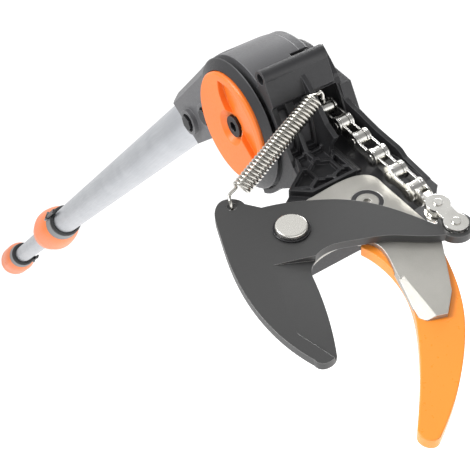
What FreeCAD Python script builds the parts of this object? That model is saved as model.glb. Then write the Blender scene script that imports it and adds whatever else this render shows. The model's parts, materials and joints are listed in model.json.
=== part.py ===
import FreeCAD, Part
import os
from math import cos, sin, pi, sqrt
from FreeCAD import Vector

# Telescoping pole pruner, millimetres. Everything is first built about the tilt hinge (axis Y through
# 0, 0, 0), with the pole running back along -X, and is then moved so that the origin lies on the pole's
# axis, near the middle of the bare outer tube, where the tool is held or hung.
headTilt = 46.3          # head turned down from straight, degrees, in the stored pose
poleRise = 23.3          # pole axis above the hinge axis
chainPitch = 12.7
outerR, outerWall = 14.2, 1.4
innerR, innerWall = 12.35, 1.3
outerFront, outerRear = -45.0, -700.0
innerFront, innerRear = -200.0, -1240.0
collarFront = -652.0     # front of the fixed grip on the outer tube
pullFront = -1083.0      # front of the sliding grip on the inner tube
holdX = -402.5           # place of the origin along the pole
barrelR, barrelNear, barrelFar = 34.0, -28.0, 6.0
cheekNear, cheekR = 6.4, 27.0    # head wall that closes the barrel's far end
saddleR = 34.6
hingeBoltR = 4.0
deckTop, deckLow = 2.0, -10.0
plateTop, bladeLow, bladeTop = 5.8, 6.1, 9.8
rivetAt = (81.7, -57.2)
springHoleAt = (55.7, -69.9)
plateScrewAt = (83.5, -19.0)
armPinAt = (118.7, -1.5)
linkPinAt = (106.0, -0.1)
chainRearPin = (28.0, 12.25)     # u and w of the first chain pin
chainDrop = 0.067                # the chain runs down by this much per mm
chainPins = 6
bossAt = (19.5, 36.9)            # u and w of the cross bar's axis
bossHoleR = 2.6
barFar = 4.0                     # far end of the cross bar

xAxis, yAxis, zAxis = Vector(1, 0, 0), Vector(0, 1, 0), Vector(0, 0, 1)
os.makedirs("parts", exist_ok=True)


def save(name, shape, inHead=False):
    """Write one sub-part, turning head pieces down by the tilt first."""
    shape = shape.copy()
    if inHead:
        shape.rotate(Vector(0, 0, 0), yAxis, headTilt)
    shape.translate(Vector(-holdX, 0, -poleRise))
    if not shape.isValid():
        print("not valid:", name)
    shape.exportStep("parts/" + name + ".step")
    print(name, len(shape.Solids), round(shape.Volume / 1000, 2))


def rod(radius, start, end):
    start, end = Vector(*start), Vector(*end)
    return Part.makeCylinder(radius, (end - start).Length, start, end - start)


def tube(outer, inner, start, end):
    return rod(outer, start, end).cut(rod(inner, start, end))


def box(low, high):
    size = Vector(*high) - Vector(*low)
    return Part.makeBox(size.x, size.y, size.z, Vector(*low))


def outline(start, *runs):
    """Closed edge loop in a plane: a run of one point is a straight line, a longer run is a smooth curve."""
    edges, here = [], start
    for run in runs:
        if len(run) == 1:
            edges.append(Part.LineSegment(here, run[0]).toShape())
        else:
            curve = Part.BSplineCurve()
            curve.interpolate([here] + list(run))
            edges.append(curve.toShape())
        here = run[-1]
    if (here - start).Length > 1e-6:
        edges.append(Part.LineSegment(here, start).toShape())
    return Part.Face(Part.Wire(edges))


def flat(low, high, start, *runs):
    """Plate between two heights from an outline of (u, v) points."""
    lift = lambda p: Vector(p[0], p[1], low)
    face = outline(lift(start), *[[lift(p) for p in run] for run in runs])
    return face.extrude(Vector(0, 0, high - low))


def upright(near, far, start, *runs):
    """Plate between two values of y from an outline of (x, z) points."""
    lift = lambda p: Vector(p[0], near, p[1])
    face = outline(lift(start), *[[lift(p) for p in run] for run in runs])
    return face.extrude(Vector(0, far - near, 0))


def turned(points):
    """Body turned about the pole's axis from (x, radius) points; smooth through the outer ones."""
    top = [Vector(x, 0, poleRise + r) for x, r in points]
    curve = Part.BSplineCurve()
    curve.interpolate(top)
    first, last = Vector(top[0].x, 0, poleRise), Vector(top[-1].x, 0, poleRise)
    edges = [curve.toShape(), Part.LineSegment(top[-1], last).toShape(),
             Part.LineSegment(last, first).toShape(), Part.LineSegment(first, top[0]).toShape()]
    return Part.Face(Part.Wire(edges)).revolve(Vector(0, 0, poleRise), xAxis, 360)


def onPole(outer, inner, start, end):
    return tube(outer, inner, (start, 0, poleRise), (end, 0, poleRise))


def halves(shape, reach=60):
    near = shape.common(box((-1400, -reach, -100), (200, 0, 100)))
    far = shape.common(box((-1400, 0, -100), (200, reach, 100)))
    return near, far


def hexagon(radius, centre, height, direction):
    points = [Vector(radius * cos(pi / 3 * i), radius * sin(pi / 3 * i), 0) for i in range(7)]
    prism = Part.Face(Part.makePolygon(points)).extrude(Vector(0, 0, height))
    prism.Placement = FreeCAD.Placement(Vector(*centre), FreeCAD.Rotation(zAxis, Vector(*direction)))
    return prism


# pole, knuckle and tubes

clampBolts = ((-95.0, 19.0), (-67.0, 16.0))
clampHalfWidth = 16.6
chamberHalf = 5.5        # half the width of the space for the strap and chain inside the barrel


def knuckle():
    body = upright(-clampHalfWidth, clampHalfWidth, (-112, 36), [(-107, 38.6)], [(-60, 39.5)],
                   [(-30, 39), (0, barrelR)], [(0, -8)], [(-33, -8)], [(-48, -2.5), (-73, 3.5)], [(-103, 6)])
    body = body.makeChamfer(4.0, [e for e in body.Edges if e.BoundBox.XMax < -50 and e.BoundBox.ZMin > 38
                                  and e.BoundBox.XLength > 30])
    body = body.cut(box((-36, barrelFar, -60), (60, 60, 60)))
    barrel = rod(barrelR, (0, barrelNear, 0), (0, barrelFar, 0))
    barrel = barrel.makeChamfer(2.0, [e for e in barrel.Edges if e.BoundBox.YMin > barrelFar - 0.1
                                      and abs(e.Length - 2 * pi * barrelR) < 1])
    body = body.fuse(barrel)
    for x, z in clampBolts:
        body = body.fuse(rod(7.6, (x, -19.6, z), (x, 19.6, z)))
    body = body.cut(rod(outerR, (-400, 0, poleRise), (outerFront, 0, poleRise)))
    chamber = rod(32.6, (0, -chamberHalf, 0), (0, 20, 0))
    throat = box((-60, -chamberHalf, poleRise - 13), (-10, chamberHalf, poleRise + 9))
    mouth = upright(-chamberHalf, 20, (0, 0), [(60 * cos(0.56), 60 * sin(0.56))], [(70, -20)], [(10, -70)])
    body = body.cut(chamber.fuse([throat, mouth]))
    body = body.cut(rod(hingeBoltR + 0.05, (0, -60, 0), (0, 60, 0)))
    body = body.cut(rod(12, (0, barrelNear - 1, 0), (0, -26.5, 0)))
    for x, z in clampBolts:
        body = body.cut(rod(2.5, (x, -60, z), (x, 60, z)))
        body = body.cut(rod(5.6, (x, -60, z), (x, -17.5, z)).fuse(rod(5.6, (x, 17.5, z), (x, 60, z))))
    return halves(body)


def pole():
    near, far = knuckle()
    save("knuckle_near_shell", near)
    save("knuckle_far_shell", far)
    outer = onPole(outerR, outerR - outerWall, outerFront, outerRear)
    for x, z in clampBolts:
        outer = outer.cut(rod(2.5, (x, -30, z), (x, 30, z)))
    save("outer_tube", outer)
    bolts, nuts = [], []
    for x, z in clampBolts:
        head = hexagon(4.6, (x, -21.0, z), 3.5, (0, 1, 0))
        bolts.append(head.fuse(rod(2.5, (x, -17.5, z), (x, 21.5, z))))
        nut = hexagon(4.6, (x, 17.5, z), 3.2, (0, 1, 0)).cut(rod(2.5, (x, 10, z), (x, 30, z)))
        nuts.append(nut)
    save("clamp_bolts", Part.makeCompound(bolts))
    save("clamp_nuts", Part.makeCompound(nuts))
    bolt = rod(hingeBoltR, (0, -33.0, 0), (0, 19.5, 0)).fuse(rod(5.5, (0, -34.6, 0), (0, -31.3, 0)))
    bolt = bolt.cut(hexagon(2.9, (0, -34.6, 0), 2.4, (0, 1, 0)))
    save("hinge_bolt", bolt)
    nut = hexagon(7.5, (0, 13.7, 0), 5.0, (0, 1, 0)).cut(rod(hingeBoltR, (0, 0, 0), (0, 40, 0)))
    save("hinge_nut", nut)
    save("hinge_washer", tube(10.5, hingeBoltR, (0, 12.4, 0), (0, 13.7, 0)))
    save("roller_bush", tube(5.0, hingeBoltR, (0, -chamberHalf, 0), (0, chamberHalf, 0)))
    roller = tube(7.2, 5.05, (0, 0.3 - chamberHalf, 0), (0, chamberHalf - 0.3, 0))
    groove = tube(9, 6.5, (0, 1.1 - chamberHalf, 0), (0, chamberHalf - 1.1, 0))
    save("strap_roller", roller.cut(groove))


# grips: one fixed collar with the length lock, one sliding pull grip

def grip(front, tubeR, tail, bulbX, bulbR, capR):
    """Bulb grip of two shells, a grey sleeve and a rubber ring, on a tube of radius tubeR."""
    ringEnd, sleeveEnd = front - 10, front - 30
    bulb = turned([(sleeveEnd, 19.4), (sleeveEnd - 14, 22.3), (bulbX + 12, bulbR - 0.35), (bulbX, bulbR),
                   (bulbX - 14, bulbR - 1.6), (tail + 8, 20), (tail, capR)])
    sleeve = turned([(ringEnd, 17.2), (ringEnd - 8, 18.0), (sleeveEnd, 19.2)])
    ring = turned([(front, 15.8), (front - 2, 17.4), (front - 5, 18.0), (ringEnd, 17.5)])
    bore = rod(tubeR, (front + 5, 0, poleRise), (tail - 5, 0, poleRise))
    return bulb, sleeve.cut(bore), ring.cut(bore)


leverY = -19.6           # the lever's height off the pole's axis, before it is turned to its side


def aroundPole(shape, angle):
    """Turn a shape made on the near side of the pole to its own place round the tube."""
    shape = shape.copy()
    shape.rotate(Vector(0, 0, poleRise), xAxis, angle)
    return shape


def lever(front):
    """Thin lock lever that lies forward along the tube, with its eye in a slot of the sleeve."""
    x, y = front - 22, leverY
    arm = box((x, y - 0.9, poleRise - 2.6), (front + 26, y + 1.0, poleRise + 2.6))
    tip = Part.makeCylinder(2.6, 1.9, Vector(front + 26, y - 0.9, poleRise), yAxis)
    eye = rod(2.1, (x, y, poleRise - 2.6), (x, y, poleRise + 2.6))
    return arm.fuse([tip, eye]).cut(rod(1.05, (x, y, 0), (x, y, 60))).removeSplitter()


def leverSeat(front):
    """Room for the lever's eye, and the bore of its pin."""
    x = front - 22
    room = box((x - 3.2, leverY - 5, poleRise - 3), (front + 5, leverY + 3.0, poleRise + 3))
    return room.fuse(leverPin(front))


def leverPin(front):
    x = front - 22
    return rod(1.0, (x, leverY, poleRise - 5.2), (x, leverY, poleRise + 5.2))


def leverEars(front):
    """Two small ears that carry the lever's pin."""
    x = front - 22
    ears = [box((x - 3.4, leverY - 2.0, poleRise + low), (x + 3.4, leverY + 5.0, poleRise + low + 2.2))
            for low in (3.0, -5.2)]
    return ears[0].fuse(ears[1])


def sleeveWithLever(sleeve, front, angle):
    ears = aroundPole(leverEars(front), angle).cut(rod(outerR, (-1300, 0, poleRise), (0, 0, poleRise)))
    return sleeve.fuse(ears).cut(aroundPole(leverSeat(front), angle)).removeSplitter()


lengthLeverAngle, pullLeverAngle = -45, 135


def fixedGrip():
    tail = -792.0
    bulb, sleeve, ring = grip(collarFront, outerR, tail, -741.0, 25.6, 15.5)
    hollow = rod(outerR, (-600, 0, poleRise), (outerRear, 0, poleRise))
    rear = rod(13.3, (outerRear, 0, poleRise), (tail - 5, 0, poleRise))
    near, far = halves(bulb.cut(hollow.fuse(rear)))
    save("length_grip_near", near)
    save("length_grip_far", far)
    save("length_grip_sleeve", sleeveWithLever(sleeve, collarFront, lengthLeverAngle))
    save("length_grip_ring", ring)
    save("length_grip_bushing", onPole(13.3, innerR + 0.07, tail + 3, outerRear))
    save("length_lever", aroundPole(lever(collarFront), lengthLeverAngle))
    save("length_lever_pin", aroundPole(leverPin(collarFront), lengthLeverAngle))


pullPinX = -1150.0
pullTravel = 35.4


def extension():
    inner = onPole(innerR, innerR - innerWall, innerFront, innerRear)
    for side in (-1, 1):
        low, high = sorted((side * 6, side * 16))
        inner = inner.cut(box((pullPinX - pullTravel - 3, low, poleRise - 3),
                              (pullPinX + 3, high, poleRise + 3)))
    save("inner_tube", inner)
    save("inner_tube_bushing", onPole(outerR - outerWall - 0.07, innerR, innerFront, innerFront - 40))
    plug = onPole(innerR - innerWall, 6.0, innerRear, innerRear + 14)
    save("inner_tube_plug", plug)


def pullGrip():
    tail = -1246.0
    bulb, sleeve, ring = grip(pullFront, innerR + 0.07, tail, -1205.0, 24.0, 13.5)
    bore = rod(innerR + 0.07, (-1000, 0, poleRise), (innerRear - 0.6, 0, poleRise))
    pinHole = rod(2.5, (pullPinX, -40, poleRise), (pullPinX, 40, poleRise))
    shell = bulb.cut(bore.fuse(pinHole))
    near, far = halves(shell)
    save("pull_grip_near", near)
    save("pull_grip_far", far)
    save("pull_grip_sleeve", sleeveWithLever(sleeve, pullFront, pullLeverAngle))
    save("pull_lever", aroundPole(lever(pullFront), pullLeverAngle))
    save("pull_lever_pin", aroundPole(leverPin(pullFront), pullLeverAngle))
    save("pull_grip_ring", ring)
    save("pull_grip_pin", rod(2.5, (pullPinX, -20.5, poleRise), (pullPinX, 20.5, poleRise)))
    run = box((pullPinX + 2.6, -5, poleRise - 0.5), (-66, 5, poleRise + 0.5))
    loop = tube(3.6, 2.6, (pullPinX, -5, poleRise), (pullPinX, 5, poleRise))
    save("pull_strap", run.fuse(loop).removeSplitter())


# lock knob

def knob():
    cone = Part.makeCone(28.9, 33.8, 2.7, Vector(0, -34.3, 0), yAxis)
    rim = cone.cut(rod(28.4, (0, -40, 0), (0, -20, 0)))
    plate = tube(31.0, 6.4, (0, -31.6, 0), (0, -30.6, 0))
    hub = tube(11.8, hingeBoltR + 0.06, (0, -30.6, 0), (0, -27.0, 0))
    rim = rim.fuse([plate, hub]).cut(rod(6.4, (0, -40, 0), (0, -31.0, 0)))
    save("knob_rim", rim.removeSplitter())
    disc = rod(28.2, (0, -36.2, 0), (0, -31.6, 0))
    disc = disc.makeChamfer(0.8, [e for e in disc.Edges if e.BoundBox.YMax < -36.1])
    scoop = upright(-40, -30, (10.5, 22.0), [(4.2, 12), (4.8, 2), (6.2, -9), (8.5, -22)],
                    [(15, -18.3), (21.4, -9.8), (23.4, 0.5), (21.2, 11), (16, 17.8), (10.5, 22.0)])
    slope = flat(-30, 30, (0, -40), [(0, -32.3)], [(26, -35.9)], [(26, -40)])
    disc = disc.cut(scoop.common(slope))
    disc = disc.cut(rod(5.9, (0, -40, 0), (0, -30, 0)))
    disc = disc.cut(Part.makeCone(9.4, 6.6, 3.0, Vector(0, -36.3, 0), yAxis))
    save("lock_knob", disc)


# head frame

def honeycomb(low, high):
    """Raised rib panel between the cross bar and the cutting plate, with deep six-sided cells."""
    panel = flat(low, high, (40.5, -10.0), [(64.6, -10.0)], [(64.6, -34)], [(57.5, -42)], [(50, -31)],
                 [(40.5, -27)])
    keep = flat(low + 1.5, high + 1, (41.8, -11.3), [(63.3, -11.3)], [(63.3, -33.4)], [(57.5, -39.8)],
                [(50.6, -29.4)], [(41.8, -25.8)])
    cellR, wall = 6.3, 1.5
    step = cellR * sqrt(3) + wall
    for column in range(-1, 4):
        for row in range(-4, 2):
            u = 43.5 + column * step * sqrt(3) / 2
            v = -14.2 + (row + (0.5 if column % 2 else 0)) * step
            cell = hexagon(cellR, (u, v, low + 1.5), high - low, (0, 0, 1))
            panel = panel.cut(cell.common(keep))
    return panel


def farWall():
    """Long wall beside the chain: close to it at the bar, and further out where the arm swings over it."""
    side = upright(5.2, 16, (14, 36.8), [(20.4, 32)], [(25.8, 27.6)], [(30.4, 20.6), (41, 15.4)], [(52, 11)],
                   [(64, 7)], [(69.5, 4.0)], [(84.9, 2.2)], [(90.5, -4), (86, -9.9)], [(24, -24)], [(0, -20)],
                   [(0, 24)])
    plan = flat(-60, 60, (-2, 5.6), [(30, 5.6)], [(48, 8.4), (66, 12.4)], [(99, 12.4)], [(99, 14.8)],
                [(66, 14.8)], [(48, 10.8), (30, 8.2)], [(-2, 8.2)])
    return side.common(plan)


def bulkhead(near, far):
    """Cross rib between the saddle and the deck."""
    return upright(near, far, (27, 25), [(36.5, 12)], [(44, 1.8)], [(44, deckLow)], [(26, -24)])


tongueOutline = ((74, -13), [(74, -26)], [(94, -30.5)], [(100, -30)], [(100, -13)])


def headFrame():
    deck = flat(deckLow, deckTop, (36, 14.5), [(36, -28)], [(51, -32)], [(60, -45)], [(70, -64)],
                [(74.5, -67.5), (82, -69.7), (90, -66.5)], [(93, -61)], [(93, -30)], [(97, -14)],
                [(96, 8)], [(90.5, 14.5)])
    nearWall = upright(-12, -9.5, (bossAt[0], bossAt[1] + 1), [(31.8, 29.6)], [(43.5, 18.0)],
                       [(50.4, 14.8)], [(47, 8.0)], [(47, deckLow)], [(20, -26)], [(10, 0)], [(10, 20)])
    sill = box((44, -10.4, deckTop - 1), (64, -7.2, 3.9))
    cheek = rod(cheekR, (0, cheekNear, 0), (0, 12.4, 0))
    cheekArm = upright(cheekNear, 12.4, (6, 25), [(30, 24)], [(40, 8)], [(42, -9)], [(28, -24)], [(6, -25)])
    saddle = rod(saddleR + 2.6, (0, -30, 0), (0, 8.2, 0)).common(
        upright(-31, 9, (0, 0), [(22, 40)], [(60, 40)], [(60, -40)], [(22, -40)]))
    bar = rod(4.0, (bossAt[0], -30, bossAt[1]), (bossAt[0], barFar, bossAt[1]))
    web = upright(-30, barFar, (16.2, 30.6), [(22.6, 38.4)], [(29, 27)], [(26.5, 22)])
    nose = box((30, -28, -12), (40, 8.2, deckTop))
    frame = deck.fuse([farWall(), nearWall, sill, cheek, cheekArm, saddle, bar, web, nose,
                       bulkhead(-30, -28), bulkhead(-21.5, -19.5)])
    frame = frame.fuse(honeycomb(deckLow, 5.2))
    barrelRoom = rod(saddleR, (0, -60, 0), (0, cheekNear, 0))
    frame = frame.cut(barrelRoom)
    for near, far in ((-27.2, -22.6), (-18.6, -13)):
        frame = frame.cut(box((27, near, 4), (60, far, 26)))
    chainWay = box((20, -6.0, 3.4), (60, 5.5, 24.5))
    frame = frame.cut(chainWay)
    frame = frame.cut(flat(-1.2, deckTop + 1, *tongueOutline))
    frame = frame.cut(rod(hingeBoltR + 0.06, (0, -60, 0), (0, 60, 0)))
    frame = frame.cut(rod(bossHoleR, (bossAt[0], -60, bossAt[1]), (bossAt[0], 60, bossAt[1])))
    for at, radius in ((rivetAt, 4.0), (plateScrewAt, 3.0)):
        frame = frame.cut(rod(radius, (at[0], at[1], -40), (at[0], at[1], 40)))
    save("head_frame", frame.removeSplitter(), True)


# cutting plates

def plateShape(low, high):
    return flat(low, high, (97.7, -57.6),
                [(95.9, -45.5), (99.2, -36.4), (105.5, -31.9), (118.6, -33.9), (135.1, -39.2), (143.9, -42)],
                [(147.3, -40.4)], [(150, -32.7)], [(142.4, -24.1)], [(129.4, -15.5), (116, -7.0)], [(78, -6.8)],
                [(70.5, -8.6), (67.2, -16), (67.5, -38)], [(69.6, -57)],
                [(72.5, -65.5), (81.7, -69.4), (91.5, -66)])


def hookShape(low, high):
    return flat(low, high, (93.6, -30), [(101.9, -36.6)],
                [(114.7, -34.4), (132, -37.3), (151.3, -48.1), (170.7, -63.8), (181.4, -74)],
                [(185, -75.2), (188.3, -73), (188.3, -69.2)],
                [(179.6, -55.2), (164.4, -37.1), (150.9, -25.4), (132.4, -15.1), (118, -9.6)],
                [(98.5, -9.2)])


def groundAway(at, along, slope, top):
    """Everything above a ground face that starts on a line in a plate's top and falls to one side."""
    x = Vector(along[0], along[1], 0).normalize()
    y = zAxis.cross(x)
    y = (y * cos(slope * pi / 180) - zAxis * sin(slope * pi / 180)).normalize()
    slab = box((-60, 0, 0), (120, 60, 20))
    slab.Placement = FreeCAD.Placement(Vector(at[0], at[1], top), FreeCAD.Rotation(x, y, x.cross(y), "XYZ"))
    return slab


def cuttingPlates():
    plate = plateShape(deckTop, plateTop)
    plate = plate.cut(rod(4.0, (rivetAt[0], rivetAt[1], -9), (rivetAt[0], rivetAt[1], 9)))
    plate = plate.cut(rod(3.0, plateScrewAt + (-9,), plateScrewAt + (9,)))
    plate = plate.cut(rod(7.0, plateScrewAt + (4.4,), plateScrewAt + (9,)))
    tip = flat(deckTop, 9, (125.5, -34), [(148.5, -37)], [(148, -44)], [(140, -45)], [(125.5, -39)])
    plate = plate.cut(tip.common(groundAway((125.5, -34), (-1, 0.13), 24, plateTop)))
    save("counter_plate", plate, True)
    hook = hookShape(-1.2, 3.8).fuse(flat(-1.2, deckTop, *tongueOutline)).cut(plateShape(deckTop, 9.0))
    hook = hook.cut(rod(3.0, plateScrewAt + (-20,), plateScrewAt + (9,)))
    save("hook_cover", hook.removeSplitter(), True)
    screw = rod(3.0, plateScrewAt + (-11.5,), plateScrewAt + (5.0,))
    head = rod(5.0, plateScrewAt + (4.4,), plateScrewAt + (5.6,))
    screw = screw.fuse(head).cut(hexagon(2.0, plateScrewAt + (4.2,), 2, (0, 0, 1)))
    save("plate_screw", screw, True)
    save("plate_screw_ring", tube(7.0, 5.0, plateScrewAt + (4.4,), plateScrewAt + (5.7,)), True)
    save("plate_screw_nut", hexagon(5.4, plateScrewAt + (-14.5,), 4.5, (0, 0, 1)).cut(
        rod(3.0, plateScrewAt + (-11.5,), plateScrewAt + (-5,))), True)
    shank = rod(4.0, rivetAt + (-13.5,), rivetAt + (bladeTop + 0.9,))
    head = rod(6.85, rivetAt + (bladeTop + 0.9,), rivetAt + (bladeTop + 2.7,))
    head = head.makeFillet(0.8, [e for e in head.Edges if e.BoundBox.ZMin > bladeTop + 2.6])
    tail = rod(7.0, rivetAt + (-13.5,), rivetAt + (-10,))
    save("pivot_rivet", shank.fuse([head, tail]), True)
    save("pivot_washer", tube(7.9, 4.0, rivetAt + (bladeTop + 0.1,), rivetAt + (bladeTop + 0.9,)), True)


def blade():
    shape = flat(bladeLow, bladeTop, (57.5, -64.5),
                 [(51.6, -67.3), (50.1, -71.6), (52.9, -76.5), (61.9, -81.1), (84.7, -88.7), (107.7, -92.8),
                  (126.8, -92.2), (141, -88.6)],
                 [(144.2, -87), (145, -84.2), (143.3, -79.9)],
                 [(129.8, -72.9), (112, -65.9), (106.2, -64.1)],
                 [(100.6, -59.6), (98.3, -52.5), (102.2, -38.9), (107.5, -27.5), (116.8, -15.5), (121, -8)],
                 [armPinAt], [(113.6, -8.2)],
                 [(107.5, -10.8), (93, -18.2), (80.8, -28.3), (72.7, -39.7), (67.5, -49.4), (63.6, -60)])
    shape = shape.fuse(rod(7.4, armPinAt + (bladeLow,), armPinAt + (bladeTop,)))
    ground = flat(bladeLow - 1, bladeTop + 1, (93.8, -74.8), [(99.3, -58.2)], [(104, -56)], [(150, -72)],
                  [(150, -80.5)], [(143.8, -82.1)], [(127, -86.7)])
    shape = shape.cut(ground.common(groundAway((93.8, -74.8), (0.94, -0.337), 9.6, bladeTop)))
    for at, radius in ((rivetAt, 4.05), (armPinAt, 5.3), (springHoleAt, 2.2)):
        shape = shape.cut(rod(radius, at + (0,), at + (20,)))
    save("cutting_blade", shape, True)


springTop = (38.4, -14.2, 30.2)
springEnd = (49.2, -60.9, 10.6)


def spring():
    """Coil as a plain tube between its two hooks; it stretches as the jaw closes."""
    save("return_spring", tube(4.3, 3.2, springTop, springEnd), True)


# drive chain

def chainPin(i):
    run = i * chainPitch
    return chainRearPin[0] + run, chainRearPin[1] - chainDrop * run


def linkPlate(first, second, near, far, radius=4.2, waist=2.5):
    """Figure-of-eight side plate between two pins that lie along y."""
    a, b = Vector(first[0], near, first[1]), Vector(second[0], near, second[1])
    along = (b - a).normalize()
    side = along.cross(yAxis) * waist
    points = [a + along * 1.5 + side, b - along * 1.5 + side, b - along * 1.5 - side, a + along * 1.5 - side]
    neck = Part.Face(Part.makePolygon(points + points[:1])).extrude(Vector(0, far - near, 0))
    eyes = [Part.makeCylinder(radius, far - near, p, yAxis) for p in (a, b)]
    return neck.fuse(eyes).removeSplitter()


def chain():
    pins = [chainPin(i) for i in range(chainPins)]
    outer, inner, rollers, rods = [], [], [], []
    holes = [rod(1.8, (u, -9, w), (u, 9, w)) for u, w in pins]
    for i in range(chainPins - 1):
        sheets = ((-3.9, -3.0), (3.0, 3.9)) if i % 2 == 0 else ((-2.8, -1.9), (1.9, 2.8))
        for near, far in sheets:
            plate = linkPlate(pins[i], pins[i + 1], near, far)
            for hole in (holes[i], holes[i + 1]):
                plate = plate.cut(hole)
            (outer if i % 2 == 0 else inner).append(plate)
    for u, w in pins[1:]:
        rollers.append(tube(3.85, 1.8, (u, -1.7, w), (u, 1.7, w)))
    for u, w in pins:
        rods.append(rod(1.8, (u, -4.15, w), (u, 4.15, w)))
    save("chain_outer_plates", Part.makeCompound(outer), True)
    save("chain_inner_plates", Part.makeCompound(inner), True)
    save("chain_rollers", Part.makeCompound(rollers), True)
    save("chain_pins", Part.makeCompound(rods), True)
    u, w = pins[0]
    loop = Part.makeTorus(3.6, 0.9, Vector(u - 5.4, 0, w + 3.4), yAxis)
    eye = tube(3.4, 1.8, (u, -2.6, w), (u, 2.6, w))
    save("strap_shackle", loop.fuse(eye).removeSplitter(), True)
    u, w = pins[-1]
    neck = box((u + 5.2, -2.4, bladeLow + 0.1), (linkPinAt[0], 2.4, bladeTop - 0.1))
    fork = [linkPlate((u, w), (u + 4.9, 8.0), near, far, 4.0, 3.0).cut(holes[-1])
            for near, far in ((-2.85, -1.85), (1.85, 2.85))]
    yoke = box((u + 5.2, -2.85, bladeLow + 0.1), (u + 8.6, 2.85, bladeTop - 0.1))
    eyeB = rod(4.0, linkPinAt + (bladeLow + 0.1,), linkPinAt + (bladeTop - 0.1,))
    twist = fork[0].fuse([fork[1], yoke, neck, eyeB])
    twist = twist.cut(rod(1.95, linkPinAt + (0,), linkPinAt + (20,)))
    save("twisted_link", twist.removeSplitter(), True)


def endLink():
    """Last link, lying in the blade's plane: one plate above the blade and one below, with two pins."""
    plates = []
    for low, high in ((bladeTop + 0.35, bladeTop + 1.75), (bladeLow - 1.6, bladeLow - 0.3)):
        a, b = Vector(*linkPinAt, low), Vector(*armPinAt, low)
        along = (b - a).normalize()
        side = zAxis.cross(along) * 3.5
        points = [a + side, b + side, b - side, a - side]
        plate = Part.Face(Part.makePolygon(points + points[:1])).extrude(Vector(0, 0, high - low))
        plate = plate.fuse([Part.makeCylinder(5.2, high - low, p, zAxis) for p in (a, b)])
        for at in (linkPinAt, armPinAt):
            plate = plate.cut(rod(1.9, at + (0,), at + (20,)))
        plates.append(plate.removeSplitter())
    save("end_link_plates", Part.makeCompound(plates), True)
    save("end_link_pins", Part.makeCompound(
        [rod(1.9, at + (bladeLow - 1.6,), at + (bladeTop + 2.4,)) for at in (linkPinAt, armPinAt)]), True)


pole()
fixedGrip()
extension()
pullGrip()
knob()
headFrame()
cuttingPlates()
blade()
spring()
chain()
endLink()
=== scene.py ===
import bpy, json
import numpy as np
from math import cos, sin, pi, radians
from mathutils import Matrix, Vector


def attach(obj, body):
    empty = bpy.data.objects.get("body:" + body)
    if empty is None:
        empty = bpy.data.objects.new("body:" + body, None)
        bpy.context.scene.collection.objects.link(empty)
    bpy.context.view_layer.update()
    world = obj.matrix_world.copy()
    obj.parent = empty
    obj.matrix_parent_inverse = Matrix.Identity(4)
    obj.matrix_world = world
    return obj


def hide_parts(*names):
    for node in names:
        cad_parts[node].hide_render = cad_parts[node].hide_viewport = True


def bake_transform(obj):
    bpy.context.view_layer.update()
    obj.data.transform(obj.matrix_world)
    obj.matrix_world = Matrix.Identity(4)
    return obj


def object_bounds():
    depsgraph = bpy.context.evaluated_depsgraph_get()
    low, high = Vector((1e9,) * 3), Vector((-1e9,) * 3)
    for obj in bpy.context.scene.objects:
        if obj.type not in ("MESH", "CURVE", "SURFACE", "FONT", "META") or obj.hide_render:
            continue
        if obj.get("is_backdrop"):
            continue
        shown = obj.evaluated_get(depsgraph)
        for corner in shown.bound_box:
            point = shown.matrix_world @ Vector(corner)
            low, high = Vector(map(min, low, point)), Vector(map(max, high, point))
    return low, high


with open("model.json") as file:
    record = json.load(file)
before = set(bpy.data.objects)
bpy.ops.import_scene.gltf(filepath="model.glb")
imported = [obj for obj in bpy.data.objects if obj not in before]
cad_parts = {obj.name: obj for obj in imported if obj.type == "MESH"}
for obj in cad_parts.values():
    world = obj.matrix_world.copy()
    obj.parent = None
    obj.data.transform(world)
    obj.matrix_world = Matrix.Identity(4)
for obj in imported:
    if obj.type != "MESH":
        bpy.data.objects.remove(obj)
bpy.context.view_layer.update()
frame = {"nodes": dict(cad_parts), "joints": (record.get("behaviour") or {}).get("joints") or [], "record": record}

# places in metres: the hinge axis runs along Y through hinge, the head is turned down from the pole
mm = 0.001
tilt = radians(46.3)
hingeJoint = next(j for j in frame["joints"] if j["name"] == "head_tilt")
hinge = np.array(hingeJoint["pos_m"])
headAlong = np.array([cos(tilt), 0, -sin(tilt)])
headUp = np.array([sin(tilt), 0, cos(tilt)])
across = np.array([0.0, 1.0, 0.0])


# head coordinates in mm (along, across, up) to metres in the row's frame
def headPoint(points):
    p = np.atleast_2d(np.asarray(points, float)) * mm
    return hinge + p[:, :1] * headAlong + p[:, 1:2] * across + p[:, 2:3] * headUp


# sRGB hex to the linear colour that the shader wants: a straight part near black, then a 2.4 power
def hexColour(text):
    s = np.array([int(text[i:i + 2], 16) / 255 for i in (1, 3, 5)])
    linear = np.where(s <= 0.04045, s / 12.92, ((s + 0.055) / 1.055) ** 2.4)
    return tuple(float(v) for v in linear) + (1.0,)


# one node with its settings; an input given as a socket is linked, anything else is its value
def addNode(tree, kind, settings=None, inputs=None):
    node = tree.nodes.new(kind)
    for key, value in (settings or {}).items():
        setattr(node, key, value)
    for key, value in (inputs or {}).items():
        if isinstance(value, bpy.types.NodeSocket):
            tree.links.new(value, node.inputs[key])
        else:
            node.inputs[key].default_value = value
    return node


# mesh object from arrays of points (metres) and faces, riding on a body when one is given
def meshPiece(name, points, faces, body, material, smooth=True):
    mesh = bpy.data.meshes.new(name)
    mesh.from_pydata([tuple(p) for p in points], [], [tuple(int(i) for i in f) for f in faces])
    mesh.polygons.foreach_set("use_smooth", [smooth] * len(mesh.polygons))
    mesh.materials.append(material)
    piece = bpy.data.objects.new(name, mesh)
    bpy.context.scene.collection.objects.link(piece)
    if body:
        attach(piece, body)
    return piece


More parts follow.
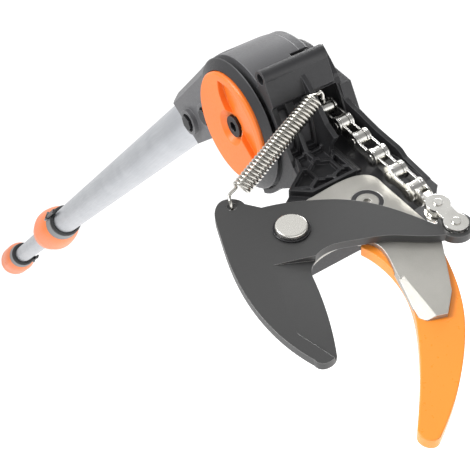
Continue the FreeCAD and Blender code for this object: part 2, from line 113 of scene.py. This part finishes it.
# quads between neighbouring points of a grid, wrapped round where a direction is closed
def gridFaces(rows, columns, closeRows=False, closeColumns=False):
    r = np.arange(rows if closeRows else rows - 1)
    c = np.arange(columns if closeColumns else columns - 1)
    i, j = np.meshgrid(r, c, indexing="ij")
    i2, j2 = (i + 1) % rows, (j + 1) % columns
    return np.stack([i * columns + j, i * columns + j2, i2 * columns + j2, i2 * columns + j], -1).reshape(-1, 4)


# round wire: a circle carried along a path; its side direction is taken along from ring to ring and
# kept square to the path, so that the wire never twists; both ends are closed
def wire(path, radius, sides=10):
    path = np.asarray(path, float)
    along = np.gradient(path, axis=0)
    along /= np.linalg.norm(along, axis=1, keepdims=True)
    side = np.cross(along[0], np.roll(along[0], 1) + (0.3, 0, 0))
    turn = np.linspace(0, 2 * pi, sides, endpoint=False)
    rings = []
    for place, forward in zip(path, along):
        side = side - forward * np.dot(side, forward)
        side /= np.linalg.norm(side)
        other = np.cross(forward, side)
        rings.append(place + radius * (np.cos(turn)[:, None] * side + np.sin(turn)[:, None] * other))
    points = np.vstack(rings)
    faces = [list(f) for f in gridFaces(len(path), sides, closeColumns=True)]
    faces.append(list(range(sides)))
    faces.append([len(points) - 1 - k for k in range(sides)])
    return points, faces


# materials, each named for what the real surface is
# the lighter edge colour of each finish is a painted highlight, mixed in along rounded edges
finishes = {
    # drawn and anodised tube: long faint draw lines, satin
    "anodisedAluminium": dict(base="#B4B6BA", dark="#9C9FA4", metallic=0.85, rough=(0.30, 0.44), grainMm=0.35,
                              stretch=(0.03, 1, 1), bump=0.05, edge="#DADCDE", edgeMm=0.4, edgeMix=0.3),
    # glass-filled nylon, moulded: dull, with a fine spark-eroded grain
    "greyNylon": dict(base="#5A5A5C", dark="#4E4E50", rough=(0.36, 0.50), grainMm=0.5, bump=0.12,
                      edge="#8A8A8C", edgeMm=0.7, edgeMix=0.5),
    "blackNylon": dict(base="#2B2B2D", dark="#222224", rough=(0.38, 0.55), grainMm=0.5, bump=0.14,
                       edge="#646466", edgeMm=0.7, edgeMix=0.55),
    "blackOxideSteel": dict(base="#2A2A2C", dark="#1D1D1F", metallic=0.6, rough=(0.32, 0.46), grainMm=0.4,
                            bump=0.06, edge="#77777A", edgeMm=0.3, edgeMix=0.6),
    "acetal": dict(base="#DAD7CD", dark="#CFCBC0", rough=(0.35, 0.5), grainMm=0.6, bump=0.05,
                   edge="#E8E6DE", edgeMm=0.4, edgeMix=0.3),
    # orange polypropylene, satin: skin slightly uneven in tone
    "orangePlastic": dict(base="#E97420", dark="#DC6718", rough=(0.32, 0.44), grainMm=0.6, bump=0.07,
                          edge="#F79A4C", edgeMm=0.8, edgeMix=0.5, blotchMm=18),
    "sleevePlastic": dict(base="#77797B", dark="#696B6D", rough=(0.42, 0.55), grainMm=0.5, bump=0.1,
                          edge="#97999B", edgeMm=0.5, edgeMix=0.4),
    "ringRubber": dict(base="#1B1C1E", dark="#131416", rough=(0.5, 0.66), grainMm=0.7, bump=0.12,
                       edge="#55595C", edgeMm=0.6, edgeMix=0.5),
    "webbing": dict(base="#28282A", dark="#161617", rough=(0.7, 0.85), grainMm=0.8, bump=0.4,
                    edge="#3A3A3C", edgeMm=0.3, edgeMix=0.2),
    # bead-blasted stainless plate; its near-white edge colour is a painted highlight along the rounded edges
    "blastedSteel": dict(base="#B9B7B1", dark="#A19F99", metallic=0.75, rough=(0.34, 0.50), grainMm=0.3,
                         bump=0.22, edge="#F2F1EE", edgeMm=0.5, edgeMix=0.8, blotchMm=6),
    # powder coat over the hook: slight orange peel
    "orangeCoat": dict(base="#F29230", dark="#EC8526", rough=(0.26, 0.36), grainMm=1.3, bump=0.05,
                       edge="#FBB35A", edgeMm=1.0, edgeMix=0.5, blotchMm=30),
    "satinNickel": dict(base="#DCDAD4", dark="#C4C2BC", metallic=0.9, rough=(0.20, 0.34), grainMm=0.4,
                        bump=0.03, edge="#FFFFFF", edgeMm=0.4, edgeMix=0.5),
    "springSteel": dict(base="#D6D4CE", dark="#B2AFA8", metallic=1.0, rough=(0.14, 0.26), grainMm=0.5,
                        bump=0.02, edge="#FFFFFF", edgeMm=0.2, edgeMix=0.2),
    # low-friction coating on the blade: flat dark grey with faint grinding lines under it
    "bladeCoat": dict(base="#3E3E3E", dark="#343434", metallic=0.15, rough=(0.36, 0.46), grainMm=0.5,
                      stretch=(1, 0.08, 0.4), bump=0.05, edge="#A5A5A3", edgeMm=0.35, edgeMix=0.7, blotchMm=35),
    "nickelPlate": dict(base="#E6E5E1", dark="#BDBBB5", metallic=1.0, rough=(0.13, 0.27), grainMm=0.6,
                        bump=0.03, edge="#FFFFFF", edgeMm=0.35, edgeMix=0.6, blotchMm=5),
}


# tone mixed by a slow noise; bump and roughness follow a fine noise; a painted highlight, a lighter edge colour, is
# mixed in where the rounded (bevel) normal turns away from the true one
def makeFinish(name, f):
    material = bpy.data.materials.new(name)
    material.use_nodes = True
    tree = material.node_tree
    tree.nodes.clear()
    place = addNode(tree, "ShaderNodeTexCoord").outputs["Object"]
    stretch = f.get("stretch", (1, 1, 1))
    grainScale = 1 / (f["grainMm"] * mm) / 2      # noise features are about half a unit wide
    mapped = addNode(tree, "ShaderNodeMapping", {}, {"Vector": place, "Scale": stretch}).outputs["Vector"]
    grain = addNode(tree, "ShaderNodeTexNoise", {}, {"Vector": mapped, "Scale": grainScale, "Detail": 4.0,
                                                     "Roughness": 0.6}).outputs["Fac"]
    blotchScale = 1 / (f.get("blotchMm", 12) * mm) / 2
    blotch = addNode(tree, "ShaderNodeTexNoise", {}, {"Vector": place, "Scale": blotchScale,
                                                      "Detail": 3.0}).outputs["Fac"]
    tone = addNode(tree, "ShaderNodeMix", {"data_type": "RGBA"},
                   {"Factor": blotch, "A": hexColour(f["base"]), "B": hexColour(f["dark"])})
    bevel = addNode(tree, "ShaderNodeBevel", {"samples": 6}, {"Radius": f["edgeMm"] * mm})
    surface = addNode(tree, "ShaderNodeNewGeometry")
    agree = addNode(tree, "ShaderNodeVectorMath", {"operation": "DOT_PRODUCT"},
                    {0: bevel.outputs["Normal"], 1: surface.outputs["Normal"]}).outputs["Value"]
    # painted highlight: the lighter edge colour is mixed in where the bevel normal turns away from the true normal
    edgeHighlightMask = addNode(tree, "ShaderNodeMapRange", {}, {"Value": agree, "From Min": 0.995, "From Max": 0.80,
                                                        "To Min": 0.0, "To Max": f["edgeMix"]}).outputs["Result"]
    colour = addNode(tree, "ShaderNodeMix", {"data_type": "RGBA"},
                     {"Factor": edgeHighlightMask, "A": tone.outputs["Result"], "B": hexColour(f["edge"])})
    rough = addNode(tree, "ShaderNodeMapRange", {}, {"Value": grain, "From Min": 0.3, "From Max": 0.7,
                                                     "To Min": f["rough"][0], "To Max": f["rough"][1]})
    bump = addNode(tree, "ShaderNodeBump", {}, {"Height": grain, "Strength": f["bump"], "Distance": 0.0003,
                                                "Normal": bevel.outputs["Normal"]})
    shader = addNode(tree, "ShaderNodeBsdfPrincipled", {},
                     {"Base Color": colour.outputs["Result"], "Roughness": rough.outputs["Result"],
                      "Normal": bump.outputs["Normal"], "Metallic": f.get("metallic", 0.0)})
    addNode(tree, "ShaderNodeOutputMaterial", {}, {"Surface": shader.outputs["BSDF"]})
    return material


made = {name: makeFinish(name, f) for name, f in finishes.items()}
print("materials made:", len(made))

finishOfSlot = {
    "tube_aluminium": "anodisedAluminium", "grey_nylon": "greyNylon", "black_nylon": "blackNylon",
    "black_steel": "blackOxideSteel", "white_acetal": "acetal", "orange_plastic": "orangePlastic",
    "sleeve_plastic": "sleevePlastic", "ring_rubber": "ringRubber", "strap_webbing": "webbing",
    "plate_steel": "blastedSteel", "hook_paint": "orangeCoat", "bright_steel": "satinNickel",
    "spring_steel": "springSteel", "coated_steel": "bladeCoat", "chain_steel": "nickelPlate"}

slotOfNode = {s["node"]: s["material_slot"] for s in frame["record"]["subparts"]}
for node, thing in frame["nodes"].items():
    thing.data.materials.clear()
    thing.data.materials.append(made[finishOfSlot[slotOfNode[node]]])

# return spring: close-wound coil, a loop at the bar and a long hook down to the blade
spring = dict(top=(38.4, -14.2, 30.2), end=(49.2, -60.9, 10.6), coilRadius=3.65, wireRadius=0.78, turns=28,
              perTurn=22, topBend=((38.0, -12.2, 32.0), (37.4, -10.2, 31.8), (37.8, -9.2, 29.8), (38.6, -9.8, 28.2)),
              endBend=((50.2, -64.2, 13.2), (52.2, -68.6, 13.0), (55.7, -70.2, 10.8), (56.4, -70.2, 6.0),
                       (53.6, -72.6, 4.6), (50.2, -72.6, 5.8)))


# smooth curve through points: each stretch is a cubic whose end directions join its neighbours
def throughPoints(points, perStretch=9):
    p = np.asarray(points, float)
    slope = np.gradient(p, axis=0)
    k = np.linspace(0, 1, perStretch, endpoint=False)[:, None]
    path = [(2 * k ** 3 - 3 * k ** 2 + 1) * p[i] + (k ** 3 - 2 * k ** 2 + k) * slope[i]
            + (3 * k ** 2 - 2 * k ** 3) * p[i + 1] + (k ** 3 - k ** 2) * slope[i + 1] for i in range(len(p) - 1)]
    return np.vstack(path + [p[-1:]])


# helix: a point turns round the axis while it moves along it; each hook is a curve through a few bends
def springPiece(s):
    top, end = headPoint([s["top"], s["end"]])
    axis = (end - top) / np.linalg.norm(end - top)
    side = np.cross(axis, headUp)
    side /= np.linalg.norm(side)
    other = np.cross(axis, side)
    t = np.linspace(0, 1, s["turns"] * s["perTurn"] + 1)
    angle = 2 * pi * s["turns"] * t
    coil = (top + (end - top) * t[:, None]
            + s["coilRadius"] * mm * (np.cos(angle)[:, None] * side + np.sin(angle)[:, None] * other))
    hooks = [throughPoints(np.vstack([first, headPoint(bends)])) for first, bends in
             ((coil[0], s["topBend"]), (coil[-1], s["endBend"]))]
    path = np.vstack([hooks[0][::-1], coil[1:-1], hooks[1]])
    points, faces = wire(path, s["wireRadius"] * mm)
    piece = meshPiece("return_spring_coil", points, faces, None, made["springSteel"])
    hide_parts("return_spring")
    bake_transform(piece)
    return piece


springPiece(spring)
print("spring made")

# studio: a wide pale paper floor that meets a wall of white light behind the object; the light is dimmer
# elsewhere, so that metal has something darker to mirror
stageLook = dict(paper="#CFCFCF", glow=0.75, floorDrop=0.15, size=60.0, bright=1.12, dim=0.42, top=0.6,
                 wallWay=(-0.94, 0.34, 0.0))


# floor sheet lit a little from within, and a sky whose strength falls off with the angle from the wall
def studio(s):
    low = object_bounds()[0].z - s["floorDrop"]
    h = s["size"] / 2
    mesh = bpy.data.meshes.new("paperFloor")
    mesh.from_pydata([(-h, -h, low), (h, -h, low), (h, h, low), (-h, h, low)], [], [(0, 1, 2, 3)])
    floor = bpy.data.objects.new("paperFloor", mesh)
    bpy.context.scene.collection.objects.link(floor)
    paper = bpy.data.materials.new("whitePaper")
    paper.use_nodes = True
    shader = paper.node_tree.nodes["Principled BSDF"]
    shader.inputs["Base Color"].default_value = hexColour(s["paper"])
    shader.inputs["Roughness"].default_value = 0.95
    shader.inputs["Emission Color"].default_value = (1, 1, 1, 1)
    shader.inputs["Emission Strength"].default_value = s["glow"]
    mesh.materials.append(paper)
    floor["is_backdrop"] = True
    world = bpy.data.worlds.new("studio")
    world.use_nodes = True
    tree = world.node_tree
    way = addNode(tree, "ShaderNodeTexCoord").outputs["Generated"]
    facing = addNode(tree, "ShaderNodeVectorMath", {"operation": "DOT_PRODUCT"}, {0: way, 1: s["wallWay"]})
    strength = addNode(tree, "ShaderNodeMapRange", {"interpolation_type": "SMOOTHSTEP"},
                       {"Value": facing.outputs["Value"], "From Min": 0.30, "From Max": 0.85,
                        "To Min": s["dim"], "To Max": s["bright"]})
    height = addNode(tree, "ShaderNodeSeparateXYZ", {}, {"Vector": way}).outputs["Z"]
    overhead = addNode(tree, "ShaderNodeMapRange", {"interpolation_type": "SMOOTHSTEP"},
                       {"Value": height, "From Min": 0.60, "From Max": 0.92, "To Min": 0.0, "To Max": s["top"]})
    total = addNode(tree, "ShaderNodeMath", {"operation": "ADD"},
                    {0: strength.outputs["Result"], 1: overhead.outputs["Result"]})
    back = tree.nodes["Background"]
    tree.links.new(total.outputs["Value"], back.inputs["Strength"])
    back.inputs["Color"].default_value = (1, 1, 1, 1)
    bpy.context.scene.world = world


# soft rectangular lamp placed at one point and turned to face another
def softbox(name, place, aim, size, power):
    light = bpy.data.lights.new(name, "AREA")
    light.shape = "RECTANGLE"
    light.size, light.size_y = size
    light.energy = power
    lamp = bpy.data.objects.new(name, light)
    bpy.context.scene.collection.objects.link(lamp)
    direction = Vector(aim) - Vector(place)
    lamp.matrix_world = Matrix.Translation(place) @ direction.to_track_quat("-Z", "Y").to_matrix().to_4x4()


studio(stageLook)
headCentre = tuple(headPoint([(70, -20, 0)])[0])
softbox("key", (0.75, -0.9, 1.1), headCentre, (0.7, 0.7), 22)
softbox("rim", (0.0, 0.9, 0.7), headCentre, (0.6, 0.6), 9)

# camera, placed from the hinge and turned a little about its own line of sight
camera = dict(place=(0.4185, -0.2085, -0.0268), right=(0.3243, 0.8416, -0.4319), up=(0.1080, 0.4206, 0.9008),
              lens=71.8)
lensData = bpy.data.cameras.new("camera")
lensData.lens = camera["lens"]
lensData.sensor_width = 36
lensData.clip_start = 0.01
eye = bpy.data.objects.new("camera", lensData)
bpy.context.scene.collection.objects.link(eye)
right, up = Vector(camera["right"]).normalized(), Vector(camera["up"]).normalized()
back = right.cross(up)
stand = Vector(hinge) + Vector(camera["place"])
eye.matrix_world = Matrix(((right.x, up.x, back.x, stand.x), (right.y, up.y, back.y, stand.y),
                           (right.z, up.z, back.z, stand.z), (0, 0, 0, 1)))
bpy.context.scene.camera = eye
bpy.context.scene.view_settings.view_transform = "Standard"
